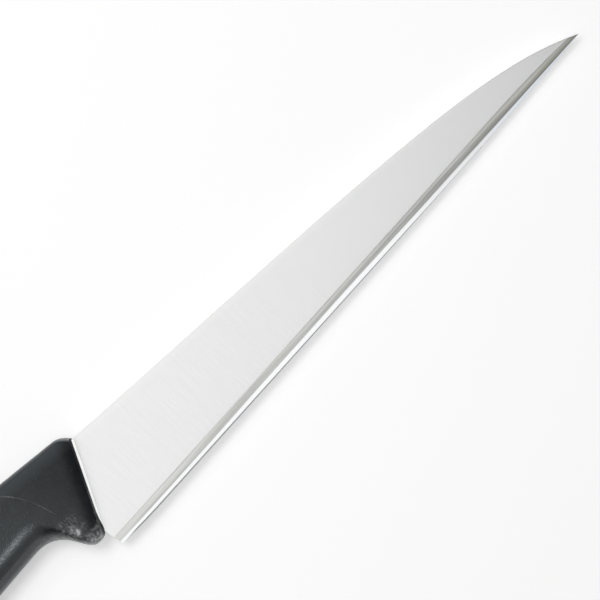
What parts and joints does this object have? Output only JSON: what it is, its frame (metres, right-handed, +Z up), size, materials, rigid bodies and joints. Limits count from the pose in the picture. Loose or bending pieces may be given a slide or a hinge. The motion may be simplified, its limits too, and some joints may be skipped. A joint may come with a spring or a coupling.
{
  "type": "sashimi knife",
  "caption": "Long single-bevel sashimi knife with a straight edge, a sloping spine and a black moulded handle with a slanted front, a finger guard and a grained grip.",
  "frame": {"origin": "on the surface that the knife lies on, under the centre of its bounding box", "axes": "+X along the cutting edge from heel to tip, +Y towards the spine, +Z up; the knife lies on its left side, tilted about two degrees, on its tip and the front of its handle"},
  "size_m": [0.382, 0.0528, 0.0238],
  "materials": {
    "steel": "satin stainless face, ground bevel with lengthwise streaks, bright honed edge",
    "core_plastic": "smooth charcoal black moulding",
    "grip_plastic": "fine-grained charcoal black moulding"
  },
  "bodies": {
    "root": {"blade": "steel", "handle_core": "core_plastic", "grip_sleeve": "grip_plastic"}
  },
  "joints": []
}
